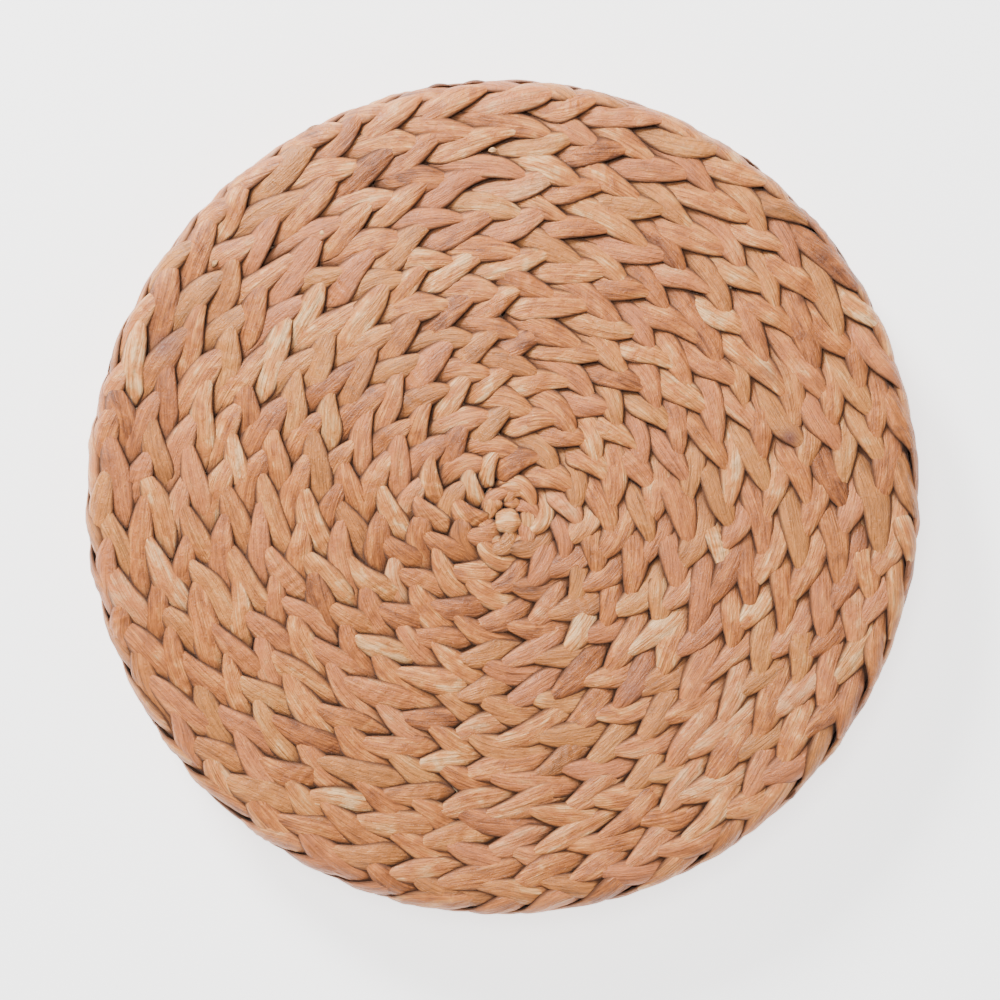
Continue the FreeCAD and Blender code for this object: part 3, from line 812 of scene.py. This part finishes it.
def swell(radius, height, crown):
    return height + crown * np.maximum(1 - (radius / FLAT) ** 2, 0)


def wrinkles(x, y, size):
    """Shallow pulls in cloth, running toward the seam at its edge."""
    reach, azimuth = np.hypot(x, y), np.arctan2(y, x)
    near_edge = smooth((reach - 110) / 75)
    pulls = np.sin(47 * azimuth + 0.02 * reach) * near_edge
    slack = np.sin(0.043 * x + 0.7) * np.sin(0.037 * y + 0.2) + 0.6 * np.sin(0.021 * (x + y))
    return size * (0.35 * pulls + 0.25 * slack)


def lathe(radius, height, rough):
    """Rings about the pad's axis, one for each point of a profile, with uneven heights."""
    azimuth = np.linspace(0, TURN, AROUND, endpoint=False)[None, :]
    x = radius[:, None] * np.cos(azimuth)
    y = radius[:, None] * np.sin(azimuth)
    return np.stack([x, y, height[:, None] + rough(x, y)], -1)


def corner(radius, height, bend, first, last, count):
    turn = np.linspace(math.radians(first), math.radians(last), count)
    return radius - bend + bend * np.cos(turn), height + bend * np.sin(turn)


def foam_shape():
    inward = np.linspace(0.5, FOAM_RADIUS - FOAM_BEND, FLAT_STEPS)
    edge_low = corner(FOAM_RADIUS, FOAM_LOW + FOAM_BEND, FOAM_BEND, -90, 0, BEND_STEPS)
    edge_high = corner(FOAM_RADIUS, FOAM_HIGH - FOAM_BEND, FOAM_BEND, 0, 90, BEND_STEPS)
    radius = np.concatenate([inward, edge_low[0], edge_high[0], inward[::-1]])
    low_flat = np.full(FLAT_STEPS, FOAM_LOW)
    high_flat = swell(inward[::-1], np.full(FLAT_STEPS, FOAM_HIGH), LINER_CROWN)
    height = np.concatenate([low_flat, edge_low[1], edge_high[1], high_flat])
    return lathe(radius, height, lambda x, y: 0.12 * np.sin(0.09 * x) * np.sin(0.083 * y))


def panel_shape():
    """A panel's cloth as a thin shell: out along its inner face and back on its outer one.

    It is the top one's shape, crowned. Turned over it is also the bottom one's, though the foam
    is flat there."""
    inward = np.linspace(0.5, CLOTH_RADIUS - PANEL_BEND, PANEL_FLAT_STEPS)
    bend_height = FOAM_HIGH - PANEL_DROP
    inner = corner(CLOTH_RADIUS, bend_height, PANEL_BEND, 90, 0, PANEL_BEND_STEPS)
    outer = corner(CLOTH_RADIUS + CLOTH, bend_height, PANEL_BEND + CLOTH, 0, 90, PANEL_BEND_STEPS)
    radius = np.concatenate([inward, inner[0], outer[0], inward[::-1]])
    inner_flat = swell(inward, np.full(PANEL_FLAT_STEPS, FOAM_HIGH + PANEL_GAP), LINER_CROWN)
    height = np.concatenate([inner_flat, inner[1], outer[1], inner_flat[::-1] + CLOTH])
    return lathe(radius, height, lambda x, y: wrinkles(x, y, 0.35))


def band_shape():
    """The side band's cloth, a strip with its two ends lapped and its edges turned in."""
    azimuth = np.linspace(0, TURN * BAND_TURN, BAND_AROUND)[:, None]
    lap = 0.9 * smooth((azimuth / TURN - 0.985) / 0.02)
    rising = np.linspace(BAND_LOW, BAND_HIGH, BAND_ROWS)
    heights = np.concatenate([rising, np.linspace(BAND_HIGH, BAND_LOW, BAND_ROWS)])
    from_middle = np.abs(heights - (BAND_LOW + BAND_HIGH) / 2)
    hem = 0.35 * smooth((from_middle - 7.5) / 0.8)
    face = np.repeat([0.0, CLOTH], BAND_ROWS) + np.repeat([-0.3, 1.0], BAND_ROWS) * hem
    swing = 0.25 * np.sin(61 * azimuth) * smooth(from_middle / 10)
    radius = CLOTH_RADIUS - 0.5 + face[None, :] + lap + swing
    x, y = radius * np.cos(azimuth), radius * np.sin(azimuth)
    return np.stack([x, y, np.broadcast_to(heights, x.shape)], -1)


def turned_over(points):
    flipped = points.copy()
    flipped[..., 2] = PAD_HEIGHT - flipped[..., 2]
    return flipped[:, ::-1]


def closed(name, points, material):
    builder = Builder()
    builder.add(points, {})
    return finish_piece(name, builder, material)


def cloth_material():
    n = Nodes("calico")
    at = n.new("ShaderNodeTexCoord").outputs["Object"]
    threads_x = n.new("ShaderNodeTexWave", bands_direction="X")
    threads_y = n.new("ShaderNodeTexWave", bands_direction="Y")
    for weave in (threads_x, threads_y):
        n.feed(weave.inputs["Vector"], at)
        weave.inputs["Scale"].default_value = 400.0
    woven = n.math("MULTIPLY", threads_x.outputs["Fac"], threads_y.outputs["Fac"])
    slub = n.noise(at, 180.0, 3.0, 0.6)
    n.feed(n.shader.inputs["Base Color"], n.ramp(slub, [
        (0.3, (0.55, 0.48, 0.38)),
        (0.7, (0.70, 0.64, 0.53)),
    ]))
    n.shader.inputs["Roughness"].default_value = 0.9
    n.feed(n.shader.inputs["Normal"], n.bump(woven, 0.0002, 0.6))
    return n.material


def foam_material():
    n = Nodes("open_cell_foam")
    at = n.new("ShaderNodeTexCoord").outputs["Object"]
    cells = n.new("ShaderNodeTexVoronoi")
    n.feed(cells.inputs["Vector"], at)
    cells.inputs["Scale"].default_value = 700.0
    worn = n.noise(at, 25.0, 3.0, 0.6)
    n.feed(n.shader.inputs["Base Color"], n.ramp(worn, [
        (0.3, (0.72, 0.62, 0.40)),
        (0.7, (0.82, 0.74, 0.54)),
    ]))
    n.shader.inputs["Roughness"].default_value = 0.95
    n.shader.inputs["Subsurface Weight"].default_value = 0.1
    n.feed(n.shader.inputs["Normal"], n.bump(cells.outputs["Distance"], 0.0005, 0.7))
    return n.material


CALICO = cloth_material()
foam = closed("foam_core", foam_shape(), foam_material())
top_panel = closed("liner_top_panel", panel_shape(), CALICO)
bottom_panel = closed("liner_bottom_panel", turned_over(panel_shape()), CALICO)
band = closed("liner_side_band", band_shape(), CALICO)

# ---------------------------------------------------------------- stage, light and camera
bpy.ops.mesh.primitive_plane_add(size=40.0, location=(0, 0, -0.0002))
floor = bpy.context.object
floor.name = "floor"
floor.data.materials.append(floor_material())


def area_light(name, place, size, power):
    data = bpy.data.lights.new(name, "AREA")
    data.size = size
    data.energy = power
    lamp = bpy.data.objects.new(name, data)
    lamp.location = place
    aim = Vector((0, 0, 0.03)) - Vector(place)
    lamp.rotation_euler = aim.to_track_quat("-Z", "Y").to_euler()
    bpy.context.scene.collection.objects.link(lamp)


area_light("key_light", (-1.0, 1.5, 1.2), 0.5, 84.0)
area_light("fill_light", (1.4, -0.6, 1.6), 1.4, 8.0)
area_light("top_light", (-0.25, 0.35, 1.9), 0.5, 26.0)
area_light("front_light", (-0.5, -1.6, 1.0), 1.4, 6.0)
world = bpy.data.worlds.new("studio")
world.use_nodes = True
world.node_tree.nodes["Background"].inputs["Color"].default_value = (1.0, 1.0, 1.0, 1.0)
world.node_tree.nodes["Background"].inputs["Strength"].default_value = 0.32
bpy.context.scene.world = world

VIEW_WIDTH = 0.477               # metres that the picture spans at the height of the pad's rim
RIM_HEIGHT = 0.045
LENS = 85.0                      # lens and sensor are millimetres
SENSOR = 36.0
camera_data = bpy.data.cameras.new("camera")
camera_data.lens = LENS
camera_data.sensor_width = SENSOR
camera = bpy.data.objects.new("camera", camera_data)
camera.location = (-0.0014, -0.0014, RIM_HEIGHT + VIEW_WIDTH * LENS / SENSOR)
bpy.context.scene.collection.objects.link(camera)
bpy.context.scene.camera = camera
